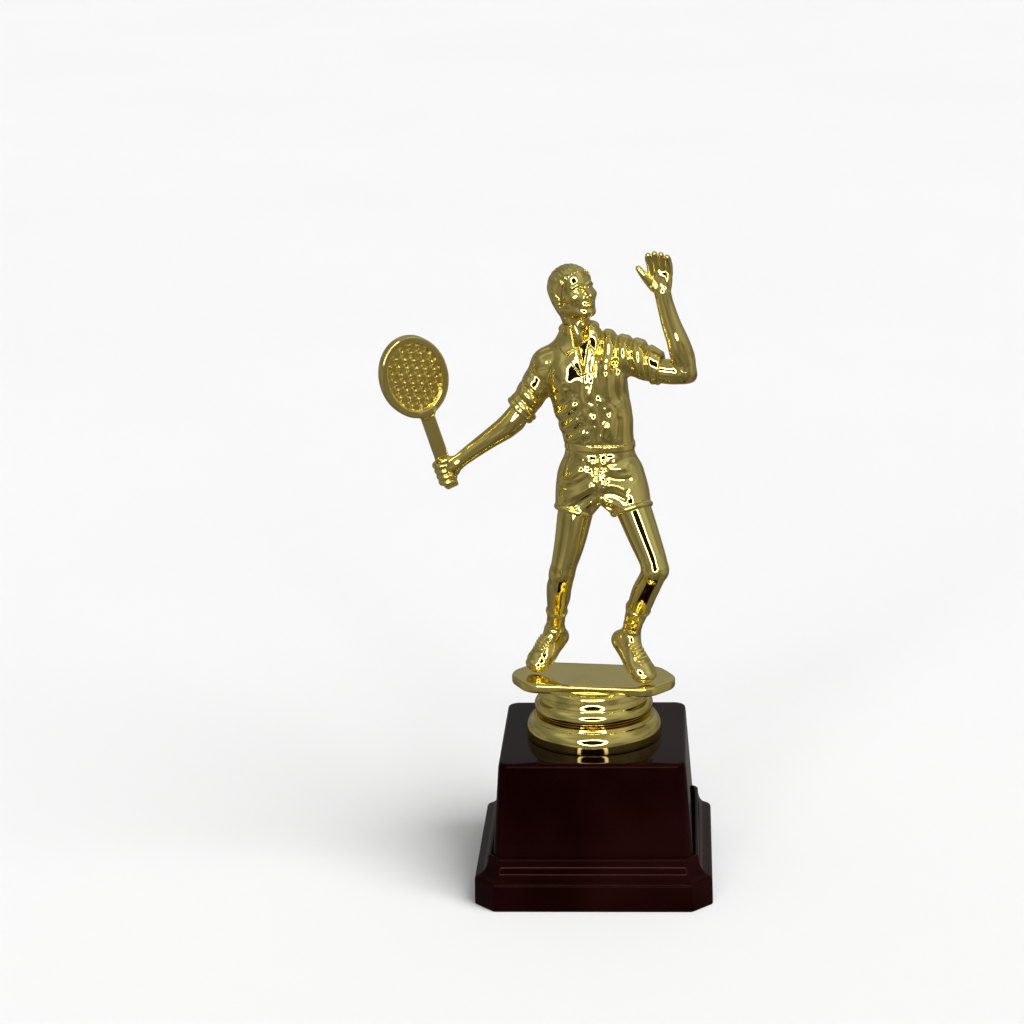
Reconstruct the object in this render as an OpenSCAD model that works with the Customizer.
// Figure trophy: a plated tennis player on a platform and two rings, clamped by one
// threaded rod to a hollow, weighted plastic plinth: a block that stands in a moulded skirt.
// The origin is the middle of the plinth's foot. +Z is up and the player faces -Y.

/* [Plinth] */
// Width of the plinth across its flats at the foot
plinth_w = 75; // [66:1:90]
// Height of the plinth
plinth_h = 46; // [42:1:60]
// Height of the skirt round the block's foot
skirt_top = 16; // [14:0.5:18]
// Thickness of the block's moulded walls
wall = 2.6; // [2:0.1:3.2]
// Corner chamfer of the skirt, measured along each side
skirt_chamfer = 6.4; // [4:0.2:9]
// How far the block's walls lean in over its height
block_lean = 2.1; // [1:0.1:3]

/* [Rings and platform] */
// Radius of the lower ring
riser_r = 21.6; // [20:0.2:24]
// Height of the lower ring
riser_h = 7.5; // [7:0.5:9]
// Radius of the upper ring
boss_r = 18.9; // [18:0.1:19.5]
// Length of the player's platform
platform_l = 52.4; // [48:0.2:58]
// Depth of the player's platform
platform_d = 23.2; // [21:0.2:27]
// Thickness of the player's platform
platform_t = 3; // [2.8:0.1:3.6]

/* [Figure] */
// Turn of the player on the rod, seen from above
figure_turn = -7; // [-20:1:20]
// Size of the player against its normal size
figure_size = 1; // [0.9:0.05:1.1]
// Flats on each rounded form of the player
figure_facets = 20; // [16:4:24]

/* [Fixing] */
// Diameter of the threaded rod
rod_d = 6; // [5:0.5:6]
// Width across the flats of the hexagon nuts
nut_flats = 10; // [9:0.5:11]
// Height of the hexagon nuts
nut_h = 5; // [4:0.5:5]

/* [Hidden] */

burgundy = "#4a0c10";
gold = "#c9ad4e";
steel = "#b8bcc0";

// Free space between a moulded spigot and its socket
fit = 0.08;
round_fn = 64;

// Plinth: the block's foot has a flange that sits under the skirt's shoulder
skirt_wall_h = 10;
lip_r = 1;
lip_z = skirt_top - lip_r;
block_foot = plinth_w / 2 - 6.1;
block_top = block_foot - block_lean;
block_corner = 3;
block_gap = 0.25;
shoulder_z = 8;
flange_t = 2.4;
top_bevel = 0.8;
felt_t = 1.2;
cover_t = 2;
ledge_z = felt_t + cover_t;
recess_half = plinth_w / 2 - 2.1;
shoulder_half = recess_half - 0.6;
top_wall = 3;
rod_hole_r = rod_d / 2 + 0.3;
tube_r = 6;
tube_foot = plinth_h - 20;
rib_h = 12;
rib_t = 1.6;

// Stack above and below the plinth's top
boss_z = plinth_h + riser_h;
boss_h = 8.9;
platform_z = boss_z + boss_h;
platform_top = platform_z + platform_t;
neck_r = 16.4;
neck_top = platform_z + 1.6;
ballast_h = 10;
ballast_w = 48;
ballast_z = tube_foot - ballast_h;
flat_washer_t = 1.6;
spring_washer_t = 1.4;
washer_z = ballast_z - flat_washer_t;
spring_z = washer_z - spring_washer_t;
base_nut_z = spring_z - nut_h;
rod_foot = base_nut_z - 2.5;
captive_nut_z = boss_z + 1.2;
rod_top = captive_nut_z + nut_h;

// Points of the player, measured from the middle of the platform's top, before the turn
neck_foot = [-2.8, 1, 108.5];
neck_head = [-3.9, 0.8, 118.5];
head_mid = [-4.4, 0.3, 124.6];
head_turn = 46;
head_lift = 20;
shoulder_r = [-12.2, 0.8, 101.4];
cuff_r = [-21.7, -1, 86.9];
elbow_r = [-24.8, -2, 82.6];
forearm_r = [-30.6, -2.8, 78.2];
wrist_r = [-41, -4.2, 70.4];
shoulder_l = [10.4, 0.4, 104.2];
cuff_l = [22.8, -0.9, 100.8];
elbow_l = [29.8, -1.6, 100.2];
forearm_l = [28.4, -2.2, 108.4];
wrist_l = [24, -2.8, 125];
hip_r = [-2.6, 0, 63];
hem_r = [-4.8, -2.8, 54];
knee_r = [-8.5, -5.6, 36];
ankle_r = [-13, 5.8, 13.2];
ball_r = [-17.2, 2.2, 4];
toe_r = [-18.8, 0, 3.2];
heel_r = [-12.2, 8.4, 8.8];
hip_l = [9.8, 0, 63];
hem_l = [13.6, -3.8, 54.8];
knee_l = [21.8, -11, 39];
ankle_l = [12, 1.2, 13.8];
ball_l = [15.9, -3.8, 4];
toe_l = [17.8, -6.2, 3.2];
heel_l = [8.6, 3.6, 9.8];
grip = [-45.1, -2.6, 66.7];
racket_lean = -17.5;
racket_turn = 33;
racket_centre = 33.4;
racket_a = 13.3;
racket_b = 10.9;
racket_t = 3.6;
rim_w = 2.4;
handle_w = 4.2;
handle_t = 2.8;
butt_len = 5.4;
peg_r = 1.1;
peg_l = 2;

// ---- shared shapes ----

// Points of an ellipse's arc, from angle a0 to a1 in n steps
function arc(c, rx, ry, a0, a1, n) =
    [for (i = [0:n]) let (a = a0 + (a1 - a0) * i / n) [c[0] + rx * cos(a), c[1] + ry * sin(a)]];

module ball(p, r) {
    translate(p) sphere(r = r, $fn = figure_facets);
}

// A rounded limb from one point to another
module limb(a, ra, b, rb) {
    hull() {
        ball(a, ra);
        ball(b, rb);
    }
}

// A straight tube with flat ends, from a to b
module rod_between(a, b, r1, r2) {
    d = b - a;
    l = norm(d);
    translate(a)
        rotate([0, acos(d[2] / l), atan2(d[1], d[0])])
            cylinder(r1 = r1, r2 = r2, h = l, $fn = figure_facets);
}

// A spigot that starts at a face and runs back along the line from b
module spigot(face, toward, length, r) {
    d = (toward - face) / norm(toward - face);
    rod_between(face + d * 0.5, face - d * length, r, r);
}

// A thin oval slice of the trunk: [x, y, z, half width, half depth]
module slice(s) {
    translate([s[0], s[1], s[2]])
        scale([s[3], s[4], 1])
            cylinder(r = 1, h = 0.2, $fn = figure_facets + 4);
}

// A trunk skinned from slice to slice
module trunk(slices) {
    for (i = [0:len(slices) - 2])
        hull() {
            slice(slices[i]);
            slice(slices[i + 1]);
        }
}

module figure_frame() {
    translate([0, 0, platform_top])
        rotate([0, 0, figure_turn])
            scale(figure_size)
                children();
}

// ---- plinth ----

// An octagon with long flats and corners cut at 45 degrees
function cut_square_points(half, cut) = [
    [half, half - cut], [half - cut, half], [cut - half, half], [-half, half - cut],
    [-half, cut - half], [cut - half, -half], [half - cut, -half], [half, cut - half]];

module cut_square(half, cut) {
    polygon(cut_square_points(half, cut));
}

// The skirt's side view from the foot up, as [distance from the middle, height]
function skirt_outline() = concat(
    [[plinth_w / 2, 0], [plinth_w / 2 - 0.2, skirt_wall_h - 0.8]],
    arc([plinth_w / 2 - 1, skirt_wall_h - 0.8], 0.8, 0.8, 30, 85, 3),
    arc([plinth_w / 2 - 1.3, lip_z], 2.9, lip_z - skirt_wall_h, 268, 190, 7),
    arc([block_foot + lip_r + 0.1, lip_z], lip_r, lip_r, 5, 120, 6));

// The skirt's cut corners keep the same distance from its sides all the way up, as the
// mitres of a frame moulding do
module skirt_body() {
    side = skirt_outline();
    n = 8;
    last = len(side) - 1;
    points = [for (p = side)
        for (q = cut_square_points(p[0], skirt_chamfer - (2 - sqrt(2)) * (plinth_w / 2 - p[0])))
            [q[0], q[1], p[1]]];
    walls = [for (i = [0:last - 1], j = [0:n - 1])
        [i * n + j, i * n + n + j, i * n + n + (j + 1) % n, i * n + (j + 1) % n]];
    polyhedron(points = points,
               faces = concat(walls, [[for (j = [0:n - 1]) j],
                                      [for (j = [n - 1:-1:0]) last * n + j]]));
}

module plinth_skirt() {
    color(burgundy)
        difference() {
            skirt_body();
            translate([0, 0, -1])
                linear_extrude(height = ledge_z + 1)
                    cut_square(recess_half, skirt_chamfer - 1.2);
            translate([0, 0, 1])
                linear_extrude(height = shoulder_z - 1)
                    cut_square(shoulder_half, skirt_chamfer - 1.6);
            translate([0, 0, 2])
                linear_extrude(height = skirt_top + 10)
                    cut_square(block_foot + block_gap, block_corner * 0.586);
        }
}

// A tapered square body with round upright corners
module tapered_block(foot, top, corner, z, h) {
    hull()
        for (sx = [-1, 1], sy = [-1, 1]) {
            translate([sx * (foot - corner), sy * (foot - corner), z])
                cylinder(r = corner, h = 0.01, $fn = 32);
            translate([sx * (top - corner), sy * (top - corner), z + h - 0.01])
                cylinder(r = corner, h = 0.01, $fn = 32);
        }
}

module plinth_block() {
    straight_h = lip_z - shoulder_z + flange_t;
    color(burgundy)
        difference() {
            union() {
                difference() {
                    union() {
                        tapered_block(block_foot, block_top, block_corner, lip_z,
                                      plinth_h - top_bevel - lip_z);
                        tapered_block(block_top, block_top - top_bevel, block_corner,
                                      plinth_h - top_bevel, top_bevel);
                        translate([0, 0, shoulder_z - flange_t])
                            linear_extrude(height = straight_h + 0.5)
                                cut_square(block_foot, block_corner * 0.7);
                    }
                    tapered_block(block_foot - wall, block_top - wall, block_corner,
                                  shoulder_z - flange_t - 1,
                                  plinth_h - top_wall - shoulder_z + flange_t + 1);
                }
                difference() {
                    translate([0, 0, shoulder_z - flange_t])
                        linear_extrude(height = flange_t)
                            cut_square(shoulder_half - 0.3, skirt_chamfer - 1.6);
                    translate([0, 0, shoulder_z - flange_t - 1])
                        linear_extrude(height = flange_t + 2)
                            cut_square(block_foot - wall, block_corner * 0.7);
                }
                translate([0, 0, tube_foot])
                    cylinder(r = tube_r, h = plinth_h - tube_foot - 1, $fn = round_fn);
                for (a = [0, 90])
                    rotate([0, 0, a])
                        translate([1 - block_top, -rib_t / 2, plinth_h - top_wall - rib_h])
                            cube([2 * (block_top - 1), rib_t, rib_h + 0.5]);
            }
            translate([0, 0, tube_foot - 1])
                cylinder(r = rod_hole_r, h = plinth_h, $fn = round_fn);
        }
}

module bottom_cover() {
    color("#1a1a1a")
        translate([0, 0, felt_t])
            linear_extrude(height = cover_t)
                cut_square(recess_half - 0.2, skirt_chamfer - 1.2);
}

module felt_pad() {
    color("#1d2a22")
        linear_extrude(height = felt_t)
            cut_square(recess_half - 0.3, skirt_chamfer - 1.2);
}

module ballast_block() {
    half = ballast_w / 2;
    corner = 4;
    color("#9a958c")
        difference() {
            translate([0, 0, ballast_z])
                linear_extrude(height = ballast_h)
                    polygon([for (q = [0:3], p = arc([0, 0], corner, corner, 90 * q, 90 * q + 90, 6))
                        p + (half - corner) * sqrt(2) * [cos(90 * q + 45), sin(90 * q + 45)]]);
            translate([0, 0, ballast_z - 1])
                cylinder(r = rod_hole_r + 0.2, h = ballast_h + 2, $fn = round_fn);
        }
}

// ---- rod, nuts and washers ----

module threaded_rod() {
    chamfer = 0.6;
    color(steel)
        translate([0, 0, rod_foot])
            rotate_extrude($fn = round_fn)
                polygon([[0, 0], [rod_d / 2 - chamfer, 0], [rod_d / 2 - 0.05, chamfer],
                         [rod_d / 2 - 0.05, rod_top - rod_foot - chamfer],
                         [rod_d / 2 - chamfer, rod_top - rod_foot], [0, rod_top - rod_foot]]);
}

module hex_nut(z) {
    translate([0, 0, z])
        difference() {
            cylinder(d = nut_flats / cos(30), h = nut_h, $fn = 6);
            translate([0, 0, -1])
                cylinder(r = rod_d / 2, h = nut_h + 2, $fn = round_fn);
        }
}

module washer(z, r, t) {
    translate([0, 0, z])
        difference() {
            cylinder(r = r, h = t, $fn = round_fn);
            translate([0, 0, -1])
                cylinder(r = rod_hole_r, h = t + 2, $fn = round_fn);
        }
}

module base_nut() {
    color(steel) hex_nut(base_nut_z);
}

module captive_nut() {
    color(steel) hex_nut(captive_nut_z);
}

module flat_washer() {
    color(steel) washer(washer_z, 9, flat_washer_t);
}

// A split ring, cut through at one side
module spring_washer() {
    color(steel)
        difference() {
            washer(spring_z, 5.4, spring_washer_t);
            translate([4.4, 0, spring_z + spring_washer_t / 2])
                rotate([30, 0, 0])
                    cube([5, 0.6, 6], center = true);
        }
}

// ---- rings and platform ----

module riser_ring() {
    hub_r = 6;
    skin = 1.9;
    color(gold)
        translate([0, 0, plinth_h])
            rotate_extrude($fn = round_fn)
                polygon(concat(
                    [[rod_hole_r, 0], [hub_r, 0], [hub_r, riser_h - skin],
                     [riser_r - 6, riser_h - skin], [riser_r - skin - 1.4, riser_h - 3.4],
                     [riser_r - skin, 2], [riser_r - skin, 0], [riser_r, 0]],
                    arc([riser_r - 3.4, 2], 3.4, 4, 0, 70, 8),
                    arc([riser_r - 2.2, riser_h], 1.6, 1.5, 250, 180, 5),
                    [[rod_hole_r, riser_h]]));
}

module platform_plan() {
    half_l = platform_l / 2;
    half_d = platform_d / 2;
    corner = 3;
    end_cut = 6.4;
    end_flat = 2.2;
    polygon(concat(
        arc([half_l - corner, end_flat], corner, corner, 0, 40, 3),
        arc([half_l - end_cut, half_d - corner], corner, corner, 50, 90, 3),
        arc([end_cut - half_l, half_d - corner], corner, corner, 90, 130, 3),
        arc([corner - half_l, end_flat], corner, corner, 140, 180, 3),
        arc([corner - half_l, -end_flat], corner, corner, 180, 220, 3),
        arc([end_cut - half_l, corner - half_d], corner, corner, 230, 270, 3),
        arc([half_l - end_cut, corner - half_d], corner, corner, 270, 310, 3),
        arc([half_l - corner, -end_flat], corner, corner, 320, 360, 3)));
}

module peg_holes() {
    figure_frame()
        for (p = [ball_r, ball_l])
            translate([p[0], p[1], -peg_l - 0.3])
                cylinder(r = peg_r + fit, h = peg_l + 1, $fn = figure_facets);
}

module figure_platform() {
    hub_r = 8;
    skin = 2;
    color(gold)
        difference() {
            union() {
                translate([0, 0, platform_z])
                    rotate([0, 0, figure_turn])
                        linear_extrude(height = platform_t)
                            platform_plan();
                rotate_extrude($fn = round_fn)
                    polygon(concat(
                        [[0, boss_z], [hub_r, boss_z], [hub_r, platform_z - skin],
                         [neck_r - skin, platform_z - skin], [boss_r - 2.6 - skin, boss_z + 3],
                         [boss_r - 1 - skin, boss_z]],
                        arc([boss_r - 3.2, boss_z + 3.1], 3.2, 3.3, -70, 70, 12),
                        arc([boss_r - 0.6, platform_z + 0.4], 1.5, 3, 235, 185, 6),
                        [[neck_r, neck_top], [0, neck_top]]));
            }
            translate([0, 0, boss_z - 1])
                cylinder(d = (nut_flats + 0.2) / cos(30),
                         h = captive_nut_z + nut_h + 0.4 - boss_z + 1, $fn = 6);
            peg_holes();
        }
}

// ---- player ----

module neck(extra) {
    rod_between(neck_foot - [0, 0, extra], neck_head, 4.5 + extra, 4.1 + extra);
}

module body_sockets() {
    neck(fit);
    spigot(cuff_r, elbow_r, 4 + fit, 2.6 + fit);
    spigot(cuff_l, elbow_l, 4 + fit, 2.4 + fit);
    spigot(hem_r, knee_r, 4 + fit, 3.4 + fit);
    spigot(hem_l, knee_l, 4 + fit, 3.4 + fit);
}

// A sleeve or a leg of the shorts, from the joint to its opening, with a turned-up edge
module sleeve(joint, joint_r, face, toward, r) {
    edge = 1.9;
    d = (toward - face) / norm(toward - face);
    hull() {
        ball(joint, joint_r);
        rod_between(face - d * 0.4, face - d * 1.4, r - 0.1, r);
    }
    rod_between(face, face - d * edge, r + 0.4, r + 0.6);
}

module belt() {
    translate([3.3, 0, 75.2])
        scale([11.4, 8, 1])
            cylinder(r = 1, h = 2, $fn = figure_facets + 4);
}

// Shirt with collar and rolled sleeves, belt and shorts
module figure_body() {
    color(gold)
        figure_frame()
            difference() {
                union() {
                    trunk([[4, 0.3, 60, 12.8, 8.2], [3.9, 0.3, 66, 12.8, 8.8], [3.4, 0.2, 73, 11.4, 8],
                           [3.3, 0, 77, 10.8, 7.3], [2.2, 0, 84, 11.9, 7.8], [0.8, 0, 91, 12.4, 8.4],
                           [-0.4, 0, 99, 12, 8.2], [-1.2, 0.4, 104.4, 10.2, 6.9],
                           [-2.1, 0.9, 108.6, 7.4, 5.7], [-2.9, 1, 112, 5.7, 5.4]]);
                    belt();
                    sleeve(shoulder_r, 5, cuff_r, elbow_r, 4.9);
                    sleeve(shoulder_l, 5.9, cuff_l, elbow_l, 4.7);
                    sleeve(hip_r + [0.6, 0, 1], 7.4, hem_r, knee_r, 6);
                    sleeve(hip_l + [-0.4, 0, 1], 7.4, hem_l, knee_l, 6.3);
                    // Collar: its stand behind the neck and two flaps in front
                    translate([neck_foot[0], neck_foot[1], 110.6])
                        cylinder(r1 = 6.4, r2 = 5.6, h = 2.6, $fn = figure_facets + 4);
                    limb([-8.4, -2.2, 111.2], 1, [-4.6, -5, 107.2], 0.8);
                    limb([2.8, -2.2, 111.2], 1, [0.2, -5.2, 107.2], 0.8);
                }
                body_sockets();
            }
}

// Places its children in the head's own frame: the face looks along -Y
module head_frame() {
    translate(head_mid)
        rotate([0, 0, head_turn])
            rotate([-head_lift, 0, 0])
                children();
}

module figure_head() {
    color(gold)
        figure_frame()
            union() {
                neck(0);
                head_frame() {
                    scale([6.1, 7.4, 6.8])
                        sphere(r = 1, $fn = figure_facets + 4);
                    limb([0, -1.4, -3], 5.2, [0, -3.4, -7], 2.6);
                    limb([0, -6.6, 0.4], 0.8, [0, -8, -2.6], 1);
                    for (side = [-1, 1]) {
                        limb([side * 5.8, 0.4, -0.4], 0.9, [side * 5.6, 0.2, -2.8], 0.7);
                        limb([side * 2.4, -6.2, 1.4], 0.7, [side * 4, -5, 1.2], 0.6);
                    }
                    limb([-1.4, -6.2, -4.8], 0.7, [1.4, -6.2, -4.8], 0.7);
                    // Hair: a close cap that stands off the forehead
                    hull() {
                        ball([0, 1.6, 1.4], 6.7);
                        ball([0, -1.6, 4], 4.6);
                    }
                }
            }
}

// The open hand: palm towards -Y, fingers up, thumb to the player's right
module open_hand(wrist) {
    translate(wrist) {
        limb([0, 0, 1], 2.6, [-1, -0.6, 4.4], 2.9);
        limb([-2.6, -0.8, 6.2], 1.5, [1.2, -0.8, 6.2], 1.6);
        for (i = [0:3])
            limb([-3.4 + 1.9 * i, -1, 6.6], 1, [-3.6 + 1.8 * i, -3.2, 10.6 - abs(i - 1.6) * 0.5], 0.9);
        limb([-2.2, -0.6, 2.6], 1.4, [-5.8, -2, 7.6], 0.9);
    }
}

module left_arm() {
    color(gold)
        figure_frame()
            union() {
                spigot(cuff_l, elbow_l, 4, 2.4);
                hull() {
                    rod_between(cuff_l + [0.05, 0, 0], cuff_l + [1, -0.1, 0], 3.7, 3.7);
                    ball(elbow_l, 3.4);
                }
                limb(elbow_l, 3.4, forearm_l, 3.35);
                limb(forearm_l, 3.35, wrist_l, 2.5);
                open_hand(wrist_l);
            }
}

// Places its children along the racket's handle: +Z runs to the head, -Y is its face
module racket_frame() {
    translate(grip)
        rotate([0, 0, racket_turn])
            rotate([0, racket_lean, 0])
                children();
}

module racket_handle(extra) {
    translate([-handle_w / 2 - extra, -handle_t / 2 - extra, -butt_len - extra])
        cube([handle_w + 2 * extra, handle_t + 2 * extra, racket_centre - racket_a + butt_len + 1]);
}

module right_arm() {
    color(gold)
        figure_frame()
            difference() {
                union() {
                    spigot(cuff_r, elbow_r, 4, 2.6);
                    hull() {
                        rod_between(cuff_r + [-0.04, 0, -0.05], cuff_r + [-0.6, -0.2, -0.8], 3.7, 3.7);
                        ball(elbow_r, 3.6);
                    }
                    limb(elbow_r, 3.6, forearm_r, 3.2);
                    limb(forearm_r, 3.2, wrist_r, 2.3);
                    limb(wrist_r, 2.4, grip + [1.6, 0.6, 0.6], 3.2);
                    racket_frame()
                        for (i = [0:3])
                            limb([-1.6, -1.9, 2.4 - 1.7 * i], 1.2, [2, -1.6, 2.9 - 1.7 * i], 1.2);
                    racket_frame() {
                        limb([-2, 1.6, 2.2], 1.5, [-2, 1.6, -2.4], 1.5);
                        limb([2, 1.8, 2.4], 1.6, [-1, -2.2, 4], 1.1);
                    }
                }
                racket_frame() racket_handle(fit);
            }
}

module racket() {
    color(gold)
        figure_frame()
            racket_frame()
                union() {
                    racket_handle(0);
                    translate([0, 0, racket_centre])
                        rotate([90, 0, 0]) {
                            difference() {
                                linear_extrude(height = racket_t, center = true)
                                    polygon(arc([0, 0], racket_b, racket_a, 0, 355, 71));
                                linear_extrude(height = 2 * racket_t, center = true)
                                    polygon(arc([0, 0], racket_b - rim_w, racket_a - rim_w, 0, 355, 71));
                            }
                            linear_extrude(height = racket_t * 0.5, center = true)
                                polygon(arc([0, 0], racket_b - rim_w + 0.2, racket_a - rim_w + 0.2,
                                            0, 355, 71));
                        }
                }
}

// A shoe from its heel to its toe, with a peg that fixes it in the platform
module shoe(ankle, heel, ball_point, toe) {
    limb(ankle, 3.1, heel, 3.1);
    limb(heel, 3.1, ball_point, 4);
    limb(ankle, 3.1, ball_point, 4);
    limb(ball_point, 4, toe, 3.2);
    translate([ball_point[0], ball_point[1], -peg_l])
        cylinder(r = peg_r, h = peg_l + 2, $fn = figure_facets);
}

// A bare leg from the shorts' hem to the shoe, standing on the platform
module leg(hem, knee, ankle, heel, ball_point, toe, thigh_r, calf_r) {
    d = (knee - hem) / norm(knee - hem);
    calf = knee + (ankle - knee) * 0.36 + [0, 1, 0];
    sock = knee + (ankle - knee) * 0.62;
    difference() {
        union() {
            spigot(hem, knee, 4, 3.4);
            hull() {
                rod_between(hem + d * 0.05, hem + d, thigh_r, thigh_r);
                ball(knee, 3.9);
            }
            limb(knee, 3.9, calf, calf_r);
            limb(calf, calf_r, sock, 3.1);
            limb(sock, 3.4, ankle, 2.9);
            shoe(ankle, heel, ball_point, toe);
        }
        // The sole is flat on the platform
        difference() {
            translate([ball_point[0] - 15, ball_point[1] - 15, -4])
                cube([30, 30, 4.02]);
            translate([ball_point[0], ball_point[1], -peg_l])
                cylinder(r = peg_r, h = peg_l + 2, $fn = figure_facets);
        }
    }
}

module left_leg() {
    color(gold)
        figure_frame()
            leg(hem_l, knee_l, ankle_l, heel_l, ball_l, toe_l, 4.9, 4);
}

module right_leg() {
    color(gold)
        figure_frame()
            leg(hem_r, knee_r, ankle_r, heel_r, ball_r, toe_r, 4.9, 3.9);
}

plinth_block();
plinth_skirt();
bottom_cover();
felt_pad();
ballast_block();
threaded_rod();
base_nut();
spring_washer();
flat_washer();
captive_nut();
riser_ring();
figure_platform();
figure_body();
figure_head();
left_arm();
right_arm();
left_leg();
right_leg();
racket();
